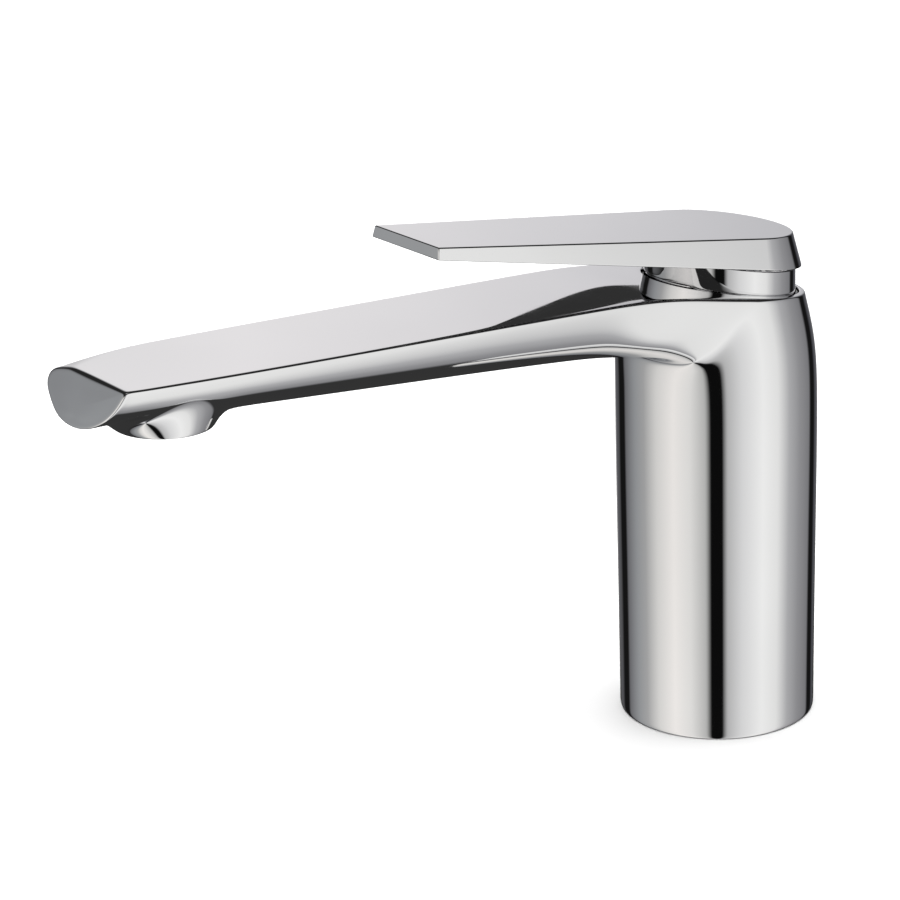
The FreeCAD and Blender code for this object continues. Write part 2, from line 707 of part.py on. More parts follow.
def make_retaining_ring():
    """The spring clip in the rotor's groove, open at the back."""
    body = new_body("collar_retaining_ring", "axisBack")
    ring(body, "Ring", "clipGrooveRadius + 0.02", "clipRadius", "clipBottom", "clipTop - 0.02")
    gap = new_sketch(body, "Gap", "XY_Plane", "clipTop + 1")
    draw_rectangle(gap, "0 - 2.5", "0", "2.5", "clipRadius + 2")
    cut(body, "Opening", gap)
    return body


# ---- lever --------------------------------------------------------------------------------------

def draw_lever_outline(sketch, radius, back, half_width, length):
    """A round heel and two straight sides that close in on a square tip."""
    heel, tip = size_of(radius), Vector(size_of(half_width), -size_of(length), 0)
    centre = Vector(0, size_of(back), 0)
    reach = (tip - centre).Length
    start = math.atan2(tip.y - centre.y, tip.x) + math.acos(heel / reach)
    end = math.pi - start
    touch = centre + Vector(heel * math.cos(start), heel * math.sin(start), 0)
    opposite = Vector(-touch.x, touch.y, 0)
    corner = Vector(-tip.x, tip.y, 0)
    circle = Part.Circle(centre, Vector(0, 0, 1), heel)
    arc = sketch.addGeometry(Part.ArcOfCircle(circle, start, end))
    far = sketch.addGeometry(Part.LineSegment(opposite, corner))
    front = sketch.addGeometry(Part.LineSegment(corner, tip))
    near = sketch.addGeometry(Part.LineSegment(tip, touch))
    sketch.addConstraint(Sketcher.Constraint("Tangent", arc, 2, far, 1))
    sketch.addConstraint(Sketcher.Constraint("Coincident", far, 2, front, 1))
    sketch.addConstraint(Sketcher.Constraint("Coincident", front, 2, near, 1))
    sketch.addConstraint(Sketcher.Constraint("Tangent", near, 2, arc, 1))
    bind(sketch, "DistanceX", arc, 3, "0")
    bind(sketch, "DistanceY", arc, 3, back)
    bind(sketch, "DistanceX", front, 1, "0 - " + half_width)
    bind(sketch, "DistanceY", front, 1, "0 - " + length)
    bind(sketch, "DistanceX", front, 2, half_width)
    bind(sketch, "DistanceY", front, 2, "0 - " + length)
    held = sketch.addConstraint(Sketcher.Constraint("Radius", arc, heel))
    sketch.setExpression("Constraints[%d]" % held, linked(radius))


def loft(body, name, kind, sections, straight=True):
    added = body.newObject("PartDesign::" + kind, body.Name + name)
    added.Profile = sections[0]
    added.Sections = sections[1:]
    added.Ruled = straight
    doc.recompute()
    return added


def make_lever_handle():
    body = new_body("lever_handle")
    under = new_sketch(body, "Under", "XY_Plane", "leverUnderHeight", "0 - leverUnderTilt")
    draw_lever_outline(under, "leverUnderRadius", "leverUnderBack", "leverUnderTipHalf",
                       "leverUnderLength")
    top = new_sketch(body, "Top", "XY_Plane", "leverTopHeight", "0 - leverTopTilt")
    draw_lever_outline(top, "leverTopRadius", "leverTopBack", "leverTopTipHalf", "leverTopLength")
    loft(body, "Blade", "AdditiveLoft", [under, top])
    mouth = new_sketch(body, "CavityMouth", "XY_Plane", "leverUnderHeight - 0.02",
                       "0 - leverUnderTilt")
    draw_circle(mouth, "0", "leverUnderBack", "leverCavityRadius")
    ceiling = new_sketch(body, "CavityCeiling", "XY_Plane", "leverTopHeight - leverWall",
                         "0 - leverTopTilt")
    draw_circle(ceiling, "0", "leverTopBack", "leverCavityTopRadius")
    loft(body, "Cavity", "SubtractiveLoft", [mouth, ceiling])
    hub = new_sketch(body, "Hub", "XY_Plane", "hubBottom")
    draw_circle(hub, "0", "axisBack", "hubRadius")
    pad_up(body, "HubBoss", hub, "hubStock - hubBottom")
    square = new_sketch(body, "Square", "XY_Plane", "hubBottom")
    half = "(spindleHalf + socketClearance)"
    draw_rectangle(square, "0 - " + half, "axisBack - " + half, half, "axisBack + " + half)
    cut(body, "SpindleSocket", square, "spindleTop + 0.1 - hubBottom", upward=True)
    screw = new_sketch(body, "ScrewHole", "XZ_Plane", "0 - axisBack")
    draw_circle(screw, "0", "screwHeight", "screwRadius")
    cut(body, "ScrewBore", screw)
    return body


def make_rod(label, start, end, radius):
    """A plain round piece along Y, at the height of the handle's screw."""
    body = new_body(label)
    sketch = new_sketch(body, "Section", "XZ_Plane", "0 - (%s)" % start)
    draw_circle(sketch, "0", "screwHeight", radius)
    rod = pad_up(body, "Rod", sketch, "%s - (%s)" % (end, start))
    rod.Reversed = True
    doc.recompute()
    return body


def make_handle_screw():
    """The grub screw that holds the lever on the spindle, with a hexagon socket."""
    body = make_rod("handle_screw", "screwStart", "screwStart + screwLength",
                    "screwRadius - screwClearance")
    socket = new_sketch(body, "Socket", "XZ_Plane", "0 - screwStart - screwLength")
    corners = []
    for turn_index in range(6):
        angle = math.radians(60 * turn_index)
        corners.append((round(1.44 * math.cos(angle), 4),
                        "screwHeight + %.4f" % (1.44 * math.sin(angle))))
    draw_polygon(socket, corners)
    cut(body, "HexSocket", socket, "2", upward=True)
    return body


def make_screw_cover():
    return make_rod("screw_cover", "coverStart", "coverEnd", "screwRadius - screwClearance")


# ---- aerator ------------------------------------------------------------------------------------

def make_aerator_shell():
    body = new_body("aerator_shell", "0 - outletReach")
    turn(body, "Shell", [("shellLipRadius", "shellBottom"), ("shellRadius", "shellBottom"),
                         ("shellRadius", "shellTop"), ("shellBoreRadius", "shellTop"),
                         ("shellBoreRadius", "shellLipTop"), ("shellLipRadius", "shellLipTop")])
    notch = new_sketch(body, "Notch", "XY_Plane", "shellBottom")
    draw_rectangle(notch, "shellLipRadius + 0.5", "0 - 0.8", "shellRadius + 1", "0.8")
    first = cut(body, "KeyNotch", notch, "0.7", upward=True)
    repeat(body, "KeyNotches", first, 8)
    return body


def make_flow_insert():
    """The plastic honeycomb: a disc with a centre hole and two rings of holes."""
    body = new_body("aerator_flow_insert", "0 - outletReach")
    radius = "shellBoreRadius - 0.1"
    turn(body, "Disc", [("0", "shellLipTop + 0.05"), (radius, "shellLipTop + 0.05"),
                        (radius, "insertTop"), ("0", "insertTop")])
    centre = new_sketch(body, "CentreHole", "XY_Plane", "insertTop + 1")
    draw_circle(centre, "0", "0", "insertHoleRadius")
    cut(body, "CentreBore", centre)
    for number, (distance, count) in enumerate(((2.3, 6), (4.6, 12))):
        sketch = new_sketch(body, "Hole%d" % number, "XY_Plane", "insertTop + 1")
        draw_circle(sketch, str(distance), "0", "insertHoleRadius")
        first = cut(body, "Bore%d" % number, sketch)
        repeat(body, "Bores%d" % number, first, count)
    return body


def make_aerator_screen():
    body = new_body("aerator_screen", "0 - outletReach")
    radius = "shellBoreRadius - 0.1"
    turn(body, "Disc", [("0", "screenBottom"), (radius, "screenBottom"), (radius, "screenTop"),
                        ("0", "screenTop")])
    for number, (distance, count) in enumerate(((2.0, 6), (4.0, 12), (6.0, 18))):
        sketch = new_sketch(body, "Hole%d" % number, "XY_Plane", "screenTop + 1")
        draw_circle(sketch, str(distance), "0", "insertHoleRadius")
        first = cut(body, "Bore%d" % number, sketch)
        repeat(body, "Bores%d" % number, first, count)
    return body


def make_flow_regulator():
    body = new_body("flow_regulator", "0 - outletReach")
    ring(body, "Ring", "regulatorRadius - 3.5", "regulatorRadius", "screenTop + 0.05",
         "regulatorTop")
    return body


def make_aerator_washer():
    body = new_body("aerator_washer", "0 - outletReach")
    ring(body, "Ring", "washerInner", "washerOuter", "shellTop", "washerTop")
    return body


def check_document():
    for item in doc.Objects:
        if "Invalid" in item.State or "Error" in item.State:
            raise RuntimeError("%s did not recompute: %s" % (item.Name, item.State))


def write_parts(bodies):
    os.makedirs("parts", exist_ok=True)
    for body in bodies:
        shape = body.Shape
        if shape.isNull() or not shape.isValid():
            raise RuntimeError("%s has no valid shape" % body.Label)
        shape.exportStep("parts/%s.step" % body.Label)
        box = shape.BoundBox
        print("%-24s %9.1f mm3  y %.1f..%.1f  z %.1f..%.1f" % (body.Label, shape.Volume, box.YMin,
                                                              box.YMax, box.ZMin, box.ZMax))


fill_sheet()
MAKERS = [make_body_casting, make_base_seal, make_cartridge_base, make_port_seals,
          make_cartridge_housing, make_fixed_disc, make_moving_disc, make_disc_carrier, make_rotor,
          make_pivot_pin, make_spindle, make_cartridge_nut, make_limit_ring, make_guide_ring,
          make_trim_collar, make_retaining_ring, make_lever_handle, make_handle_screw,
          make_screw_cover, make_aerator_shell, make_flow_insert, make_aerator_screen,
          make_flow_regulator, make_aerator_washer]
parts = [make() for make in MAKERS]
doc.recompute()
check_document()
write_parts(parts)
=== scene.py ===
import math

import bmesh
import bpy
from mathutils import Matrix, Vector


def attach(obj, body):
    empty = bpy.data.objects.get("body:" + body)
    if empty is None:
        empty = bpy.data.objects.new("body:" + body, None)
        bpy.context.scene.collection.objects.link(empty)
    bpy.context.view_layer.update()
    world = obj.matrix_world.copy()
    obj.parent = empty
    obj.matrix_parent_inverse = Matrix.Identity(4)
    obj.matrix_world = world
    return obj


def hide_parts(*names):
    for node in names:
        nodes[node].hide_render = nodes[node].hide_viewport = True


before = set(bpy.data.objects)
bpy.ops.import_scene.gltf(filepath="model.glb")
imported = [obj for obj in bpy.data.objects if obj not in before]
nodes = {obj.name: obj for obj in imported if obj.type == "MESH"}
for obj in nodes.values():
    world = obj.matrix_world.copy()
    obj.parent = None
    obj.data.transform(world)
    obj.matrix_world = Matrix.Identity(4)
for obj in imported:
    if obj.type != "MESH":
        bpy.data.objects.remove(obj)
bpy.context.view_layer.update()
millimetre = 0.001
print("frame loaded:", len(nodes), "parts")


# camera: it looks down on the spout and the lever from in front and from the +X side
cameraPlan = {
    "position": (0.616186, -0.520359, 0.355972),  # metres
    "heading": 54.611,  # degrees round from +Y
    "dip": 19.508,
    "roll": -1.736,
    "lens": 134.73,
    "sensor": 36.0,
    "clip": (0.05, 20.0),
}


def placeCamera(plan):
    data = bpy.data.cameras.new("studioCamera")
    data.lens = plan["lens"]
    data.sensor_width = plan["sensor"]
    data.clip_start, data.clip_end = plan["clip"]
    camera = bpy.data.objects.new("studioCamera", data)
    bpy.context.scene.collection.objects.link(camera)
    camera.matrix_world = (
        Matrix.Translation(plan["position"])
        @ Matrix.Rotation(math.radians(plan["heading"]), 4, "Z")
        @ Matrix.Rotation(math.radians(90 - plan["dip"]), 4, "X")
        @ Matrix.Rotation(math.radians(plan["roll"]), 4, "Z")
    )
    bpy.context.scene.camera = camera


# the light tent: soft panels either side of the camera, dark gaps between them
tentPlan = {
    "turn": 49.8,  # degrees from -Y to the tent's open front
    # degrees round from the front, then the panel's brightness there
    "panels": [
        (-180, (0.68, 0.67, 0.69)),
        (-173, (0.84, 0.82, 0.83)),
        (-168, (0.80, 0.79, 0.80)),
        (-161, (0.12, 0.12, 0.13)),
        (-148, (0.08, 0.08, 0.085)),
        (-142, (0.008, 0.008, 0.008)),
        (-129, (0.008, 0.008, 0.008)),
        (-125, (0.15, 0.15, 0.16)),
        (-105, (0.31, 0.32, 0.33)),
        (-90, (0.40, 0.40, 0.40)),
        (-72, (0.72, 0.71, 0.69)),
        (-50, (0.93, 0.90, 0.87)),
        (-30, (0.80, 0.79, 0.77)),
        (-12, (0.50, 0.50, 0.49)),
        (-6, (0.004, 0.004, 0.004)),
        (7, (0.004, 0.004, 0.004)),
        (13, (0.50, 0.50, 0.50)),
        (30, (0.74, 0.74, 0.74)),
        (55, (0.94, 0.94, 0.93)),
        (75, (0.84, 0.84, 0.83)),
        (92, (0.45, 0.45, 0.46)),
        (110, (0.30, 0.30, 0.31)),
        (131, (0.21, 0.21, 0.22)),
        (136, (0.008, 0.008, 0.008)),
        (147, (0.008, 0.008, 0.008)),
        (153, (0.07, 0.07, 0.08)),
        (163, (0.12, 0.12, 0.13)),
        (170, (0.30, 0.30, 0.31)),
        (175, (0.50, 0.50, 0.52)),
    ],
    # upward part of the direction, and the roof's brightness and share there
    "roof": [(0.33, 0.02, 0.0), (0.46, 0.02, 1.0), (0.88, 0.02, 1.0), (0.98, 0.30, 1.0)],
    # a dark card low behind the object: its direction, and the cone it fills
    "lowCard": {"rise": -50.0, "inner": 27.0, "outer": 34.0, "tone": 0.035},
    "backdrop": 1.3,  # what the camera sees past the floor
    "floor": {"tone": (0.93, 0.93, 0.93), "rough": 0.9, "size": 4.0},
    # the overhead panel, which the reflections leave out: watts, width and place in metres
    "overhead": {"power": 62.0, "width": 2.0, "place": (0.0, -0.05, 1.6)},
}


def nodeOf(tree, kind, **settings):
    node = tree.nodes.new(kind)
    for name, value in settings.items():
        setattr(node, name, value)
    return node


def fillRamp(ramp, stops):
    elements = ramp.color_ramp.elements
    while len(elements) > 1:
        elements.remove(elements[-1])
    for index, (position, colour) in enumerate(stops):
        element = elements[0] if index == 0 else elements.new(position)
        element.position = position
        element.color = (*colour, 1.0)


def buildTent(plan):
    world = bpy.data.worlds.new("lightTent")
    bpy.context.scene.world = world
    world.use_nodes = True
    tree = world.node_tree
    tree.nodes.clear()
    link = tree.links.new
    where = nodeOf(tree, "ShaderNodeTexCoord")
    turn = nodeOf(tree, "ShaderNodeVectorRotate", rotation_type="Z_AXIS")
    turn.inputs["Angle"].default_value = -math.radians(plan["turn"])
    link(where.outputs["Generated"], turn.inputs["Vector"])
    parts = nodeOf(tree, "ShaderNodeSeparateXYZ")
    link(turn.outputs["Vector"], parts.inputs["Vector"])
    away = nodeOf(tree, "ShaderNodeMath", operation="MULTIPLY")
    link(parts.outputs["Y"], away.inputs[0])
    away.inputs[1].default_value = -1.0
    angle = nodeOf(tree, "ShaderNodeMath", operation="ARCTAN2")
    link(parts.outputs["X"], angle.inputs[0])
    link(away.outputs[0], angle.inputs[1])
    share = nodeOf(tree, "ShaderNodeMapRange")
    share.inputs["From Min"].default_value = -math.pi
    share.inputs["From Max"].default_value = math.pi
    link(angle.outputs[0], share.inputs["Value"])
    panels = nodeOf(tree, "ShaderNodeValToRGB")
    fillRamp(panels, [((degrees + 180) / 360, tone) for degrees, tone in plan["panels"]]
             + [(1.0, plan["panels"][0][1])])
    link(share.outputs["Result"], panels.inputs["Fac"])
    roofTone = nodeOf(tree, "ShaderNodeValToRGB")
    fillRamp(roofTone, [(rise, (tone,) * 3) for rise, tone, amount in plan["roof"]])
    link(parts.outputs["Z"], roofTone.inputs["Fac"])
    roofShare = nodeOf(tree, "ShaderNodeValToRGB")
    fillRamp(roofShare, [(rise, (amount,) * 3) for rise, tone, amount in plan["roof"]])
    link(parts.outputs["Z"], roofShare.inputs["Fac"])
    roof = nodeOf(tree, "ShaderNodeMix", data_type="RGBA")
    link(roofShare.outputs["Color"], roof.inputs["Factor"])
    link(panels.outputs["Color"], roof.inputs["A"])
    link(roofTone.outputs["Color"], roof.inputs["B"])
    card = plan["lowCard"]
    facing = nodeOf(tree, "ShaderNodeVectorMath", operation="DOT_PRODUCT")
    rise = math.radians(card["rise"])
    facing.inputs[1].default_value = (0.0, math.cos(rise), math.sin(rise))
    link(turn.outputs["Vector"], facing.inputs[0])
    cover = nodeOf(tree, "ShaderNodeMapRange", interpolation_type="SMOOTHSTEP")
    cover.inputs["From Min"].default_value = math.cos(math.radians(card["outer"]))
    cover.inputs["From Max"].default_value = math.cos(math.radians(card["inner"]))
    link(facing.outputs["Value"], cover.inputs["Value"])
    shaded = nodeOf(tree, "ShaderNodeMix", data_type="RGBA")
    link(cover.outputs["Result"], shaded.inputs["Factor"])
    link(roof.outputs["Result"], shaded.inputs["A"])
    shaded.inputs["B"].default_value = (*(card["tone"],) * 3, 1.0)
    tent = nodeOf(tree, "ShaderNodeBackground")
    link(shaded.outputs["Result"], tent.inputs["Color"])
    backdrop = nodeOf(tree, "ShaderNodeBackground")
    backdrop.inputs["Color"].default_value = (1.0, 1.0, 1.0, 1.0)
    backdrop.inputs["Strength"].default_value = plan["backdrop"]
    path = nodeOf(tree, "ShaderNodeLightPath")
    seen = nodeOf(tree, "ShaderNodeMixShader")
    link(path.outputs["Is Camera Ray"], seen.inputs["Fac"])
    link(tent.outputs["Background"], seen.inputs[1])
    link(backdrop.outputs["Background"], seen.inputs[2])
    result = nodeOf(tree, "ShaderNodeOutputWorld")
    link(seen.outputs["Shader"], result.inputs["Surface"])


def hangOverhead(plan):
    lamp = bpy.data.lights.new("overheadPanel", "AREA")
    lamp.shape = "SQUARE"
    lamp.size = plan["width"]
    lamp.energy = plan["power"]
    overhead = bpy.data.objects.new("overheadPanel", lamp)
    bpy.context.scene.collection.objects.link(overhead)
    overhead.location = plan["place"]
    overhead.visible_glossy = False


def layFloor(plan):
    # pale, and kept out of the reflections
    bm = bmesh.new()
    bmesh.ops.create_grid(bm, x_segments=1, y_segments=1, size=plan["size"])
    mesh = bpy.data.meshes.new("studioFloor")
    bm.to_mesh(mesh)
    bm.free()
    floor = bpy.data.objects.new("studioFloor", mesh)
    bpy.context.scene.collection.objects.link(floor)
    floor.visible_glossy = False
    material = bpy.data.materials.new("paleFloor")
    material.use_nodes = True
    shader = material.node_tree.nodes["Principled BSDF"]
    shader.inputs["Base Color"].default_value = (*plan["tone"], 1.0)
    shader.inputs["Roughness"].default_value = plan["rough"]
    shader.inputs["Specular IOR Level"].default_value = 0.0
    mesh.materials.append(material)


placeCamera(cameraPlan)
buildTent(tentPlan)
hangOverhead(tentPlan["overhead"])
layFloor(tentPlan["floor"])
bpy.context.scene.view_settings.view_transform = "Standard"
print("camera and light tent placed")


# finishes: tone, metal or not, roughness from and to, grains to the metre, and how deep they are
finishPlan = {
    "polishedChrome": {"tone": (0.90, 0.90, 0.905), "metal": 1.0, "rough": (0.02, 0.05),
                       "grain": 60.0, "bump": 0.0},
    "satinSteel": {"tone": (0.62, 0.62, 0.63), "metal": 1.0, "rough": (0.22, 0.34),
                   "grain": 900.0, "bump": 0.05},
    "bareBrass": {"tone": (0.72, 0.52, 0.27), "metal": 1.0, "rough": (0.25, 0.40),
                  "grain": 700.0, "bump": 0.08},
    "whiteCeramic": {"tone": (0.86, 0.85, 0.82), "metal": 0.0, "rough": (0.18, 0.28),
                     "grain": 500.0, "bump": 0.03},
    "greyAcetal": {"tone": (0.34, 0.35, 0.37), "metal": 0.0, "rough": (0.38, 0.52),
                   "grain": 800.0, "bump": 0.12},
    "whiteAcetal": {"tone": (0.78, 0.78, 0.76), "metal": 0.0, "rough": (0.35, 0.48),
                    "grain": 800.0, "bump": 0.12},
    "redNylon": {"tone": (0.55, 0.06, 0.05), "metal": 0.0, "rough": (0.38, 0.50),
                 "grain": 800.0, "bump": 0.12},
    "blackRubber": {"tone": (0.025, 0.025, 0.027), "metal": 0.0, "rough": (0.62, 0.80),
                    "grain": 1400.0, "bump": 0.25},
}


grainPlan = {
    "detail": 4.0,
    "span": (0.35, 0.65),  # the part of the noise that is spread over the roughness
    "height": 0.0002,  # metres
    "patch": 4,  # a patch of tone, in grains
    "patchSpan": (0.3, 0.7),
    "shade": 0.94,  # the darkest patches, as a share of the tone
}


def makeFinish(name, plan):
    material = bpy.data.materials.new(name)
    material.use_nodes = True
    tree = material.node_tree
    link = tree.links.new
    shader = tree.nodes["Principled BSDF"]
    shader.inputs["Metallic"].default_value = plan["metal"]
    where = nodeOf(tree, "ShaderNodeTexCoord")
    grain = nodeOf(tree, "ShaderNodeTexNoise")
    grain.inputs["Scale"].default_value = plan["grain"]
    grain.inputs["Detail"].default_value = grainPlan["detail"]
    link(where.outputs["Object"], grain.inputs["Vector"])
    polish = nodeOf(tree, "ShaderNodeMapRange")
    ends = ("From Min", "From Max", "To Min", "To Max")
    for end, value in zip(ends, (*grainPlan["span"], *plan["rough"])):
        polish.inputs[end].default_value = value
    link(grain.outputs["Fac"], polish.inputs["Value"])
    link(polish.outputs["Result"], shader.inputs["Roughness"])
    shades = nodeOf(tree, "ShaderNodeValToRGB")
    dark, pale = grainPlan["patchSpan"]
    fillRamp(shades, [(dark, [channel * grainPlan["shade"] for channel in plan["tone"]]),
                      (pale, plan["tone"])])
    cloud = nodeOf(tree, "ShaderNodeTexNoise")
    cloud.inputs["Scale"].default_value = plan["grain"] / grainPlan["patch"]
    link(where.outputs["Object"], cloud.inputs["Vector"])
    link(cloud.outputs["Fac"], shades.inputs["Fac"])
    link(shades.outputs["Color"], shader.inputs["Base Color"])
    if plan["bump"]:
        relief = nodeOf(tree, "ShaderNodeBump")
        relief.inputs["Strength"].default_value = plan["bump"]
        relief.inputs["Distance"].default_value = grainPlan["height"]
        link(grain.outputs["Fac"], relief.inputs["Height"])
        link(relief.outputs["Normal"], shader.inputs["Normal"])
    return material


finishes = {name: makeFinish(name, plan) for name, plan in finishPlan.items()}
print("finishes mixed:", len(finishes))


weldGap = 0.001  # millimetres


def finishPiece(bm, name, body, finish, slotName, *standsFor):
    bmesh.ops.remove_doubles(bm, verts=bm.verts, dist=weldGap)
    bmesh.ops.recalc_face_normals(bm, faces=bm.faces)
    bmesh.ops.scale(bm, vec=(millimetre,) * 3, verts=bm.verts)
    mesh = bpy.data.meshes.new(name)
    for face in bm.faces:
        face.smooth = True
    bm.to_mesh(mesh)
    bm.free()
    piece = bpy.data.objects.new(name, mesh)
    bpy.context.scene.collection.objects.link(piece)
    mesh.materials.append(finishes[finish])
    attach(piece, body)
    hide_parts(*standsFor)
    return piece


def loopEdges(bm, loop):
    return [bm.edges.get((loop[i], loop[i - 1])) for i in range(len(loop))]


def extrudeLoop(bm, loop):
    # a closed ring of vertices pulled into a new ring, in the same order
    made = bmesh.ops.extrude_edge_only(bm, edges=loopEdges(bm, loop))["geom"]
    fresh = {item for item in made if isinstance(item, bmesh.types.BMVert)}
    return [next(edge.other_vert(vert) for edge in vert.link_edges
                 if edge.other_vert(vert) in fresh) for vert in loop]


def creaseLoop(bm, loop, amount):
    layer = bm.edges.layers.float.get("crease_edge") or bm.edges.layers.float.new("crease_edge")
    for edge in loopEdges(bm, loop):
        edge[layer] = amount


# the body casting: a turned column that sweeps forward into the spout. Sizes in millimetres
castingPlan = {
    "segments": 32,
    "opening": 3,  # faces each side of the front that the spout grows from
    "smoothing": 3,
    "swell": 1.0064,  # the smoothed ring comes out this much smaller than its cage
    "rimHeight": 114.1,
    "rimSlope": 0.186,
    "spoutHeight": 118.4,
    "spoutSlope": 0.051,
    "blend": 0.35,  # how far the top is rounded down where the two planes meet
    "controlBack": 1.2,
    # radius and height, from the base bore's ceiling down and round to the outside
    "insideRows": [(19.6, 54.0), (20.0, 53.6), (20.0, 4.0), (20.0, 0.4), (20.4, 0.0), (21.7, 0.0),
                   (21.7, 2.0), (23.7, 2.0), (23.7, 0.0), (24.6, 0.0)],
    "creasedRows": [0, 4, 5, 6, 7, 8],  # the ceiling's edge and the seal groove
    "crease": 0.9,
    "outsideRows": [(25.0, 0.4), (25.0, 2.5), (25.1, 25.0), (25.3, 50.0), (25.45, 70.0)],
    # drop below the rim's plane, radius, angle of the spout's side from the front, in degrees,
    # how much lower the row runs under the spout's middle and at its side, and its flare there
    "shoulderRows": [(30.0, 25.45, 34.5, 1.0, 0.0, 0.0), (22.0, 25.35, 36.5, 3.5, 1.2, 0.1),
                     (15.5, 25.0, 39.5, 6.5, 4.6, 0.5), (10.5, 24.4, 44.0, 8.5, 6.6, 1.6)],
    "sideRows": [(6.4, 23.6, 55.0, 3.2, 1.7), (2.9, 22.75, 64.0, 1.4, 1.1),
                 (0.6, 22.2, 72.0, 0.0, 0.4)],
    "flareFade": 0.4,  # the flare left with each step away from the spout's side
    "dipFade": 0.35,  # and the same for the dip, behind it
    "dipRound": 0.8,
    "rimRows": [21.8, 21.0],
    "rimBack": 0.4,
    "frontOfRim": [(0.0, 24.0), (9.5, 22.6), (18.0, 16.0)],  # x and reach, from the middle
    "recessRows": [(0.0, 19.95), (0.35, 19.6), (2.5, 19.6)],  # drop and radius
    "recessRadius": 19.6,
    "recessFloor": 106.5,
    "nutBore": 18.55,
    "nutSeat": 100.0,
    "chamberRadius": 17.75,
    "chamberFloor": 76.0,
    # how far round the belly each vertex is, as a share of the way to the top edge
    "bellyShares": [0.0, 0.165, 0.34, 0.53, 0.67, 0.82, 0.972],
    "edgeInset": 0.3,
    "topInsets": [0.54, 1.5],  # share of the half width, then millimetres in from the top's edge
    # reach and half width of the spout
    "widths": [(16.0, 21.2), (22.0, 20.5), (28.0, 19.8), (38.0, 19.1), (60.0, 18.6), (82.0, 18.35),
               (110.0, 18.0), (140.0, 17.4), (156.0, 16.8), (167.0, 16.2), (180.0, 15.5)],
    "depth": 18.5,
    "depthFrom": 10,  # reach, from where the depth falls off by the loss per millimetre
    "depthLoss": 0.0475,
    # of the section, by reach: 1 is an ellipse, less is boxier
    "squareness": [(31.0, 0.56), (43.0, 0.86), (60.0, 0.97)],
    # the first two rings of the spout, from the middle of the belly round to the top edge
    "rootReaches": [[28.0, 28.0, 27.8, 27.0, 26.5, 25.0, 23.0, 22.5],
                    [33.0, 33.2, 33.6, 34.0, 34.5, 34.0, 33.0, 32.5]],
    "stations": [43.0, 52.0, 75.0, 98.0, 118.0, 134.0],
    "outletReach": 160.6,
    "bossStations": [147.0, 153.8, 160.6, 167.4, 174.2],
    # radius at the sides and back, extra length at the front, and share of the way up from the
    # rim to the belly
    "bossRoot": (15.9, 3.2),
    "bossFlank": [(14.0, 2.2, 0.80), (12.7, 1.3, 0.48), (11.75, 0.5, 0.14)],
    "bossPoint": 4,  # the higher, the narrower the part that is drawn out
    "bossRim": 112.4,
    "bossTilt": 0.03,  # the rim's rise towards the tip
    "bossBore": [(11.35, 112.4), (11.1, 112.4), (9.7, 112.4), (9.4, 112.7), (9.4, 119.0),
                 (9.4, 121.5)],
    "bossSwell": 1.016,
    "faceMiddle": Vector((0.0, 0.0, 120.8)),
    "faceRings": [(1.7, 0.0), (0.45, 0.0), (0.0, 0.4), (0.0, 1.8)],  # how far back, and inward
    "faceDome": [(0.35, 0.11), (0.7, 0.17)],  # share of the way in, and how far it stands out
    "faceReach": 178.6,  # top edge of the end face
    "faceTop": 127.5,
    "faceRun": 0.577,  # forward run of the end face per millimetre of drop
}


def rimPlane(y):
    return castingPlan["rimHeight"] - castingPlan["rimSlope"] * y


def topHeight(y):
    # the rim's plane and the spout's top, rounded into each other
    rim = rimPlane(y)
    spout = castingPlan["spoutHeight"] - castingPlan["spoutSlope"] * y
    half = (rim - spout) / 2
    return (rim + spout) / 2 - math.hypot(half, castingPlan["blend"])


def readTable(table, reach):
    # the value at a reach, straight between the listed ones
    if reach <= table[0][0]:
        return table[0][1]
    for (near, first), (far, second) in zip(table, table[1:]):
        if reach <= far:
            return first + (second - first) * (reach - near) / (far - near)
    return table[-1][1]


def sectionAt(reach):
    wide = readTable(castingPlan["widths"], reach)
    deep = castingPlan["depth"] - castingPlan["depthLoss"] * (reach - castingPlan["depthFrom"])
    return wide, deep, readTable(castingPlan["squareness"], reach)


def bellyPoint(reach, share, side):
    # a point on the underside, share of the way from the middle to the top edge
    wide, deep, power = sectionAt(reach)
    angle = share * math.pi / 2
    return Vector((side * wide * math.sin(angle) ** power, -reach,
                   topHeight(-reach) - deep * math.cos(angle) ** power))


def bellyHeight(reach, x):
    wide, deep, power = sectionAt(reach)
    level = 1 - (abs(x) / wide) ** (2 / power)
    return topHeight(-reach) - deep * max(level, 0.0) ** (power / 2)


def topPoint(reach, inset, side):
    # a point on the flat top, inset from its edge
    wide = sectionAt(reach)[0]
    return Vector((side * (wide - inset), -reach, topHeight(-reach)))


# the tip's far corner is rounded over: how far each vertex moves in and down at the end
farCorner = {
    "from": 157.0,
    "to": 178.6,
    "ease": 1.6,
    "moves": {"shoulder": (4.9, 0.12), "edge": (2.1, 0.95), "under": (-0.2, 1.4),
              "side": (-1.1, 0.7), "flank": (-0.9, 0.2)},
}


def roundFarCorner(vert, part, reach):
    span = (reach - farCorner["from"]) / (farCorner["to"] - farCorner["from"])
    amount = max(0.0, min(1.0, span)) ** farCorner["ease"]
    inward, down = farCorner["moves"][part]
    vert.co.x += inward * amount
    vert.co.z -= down * amount


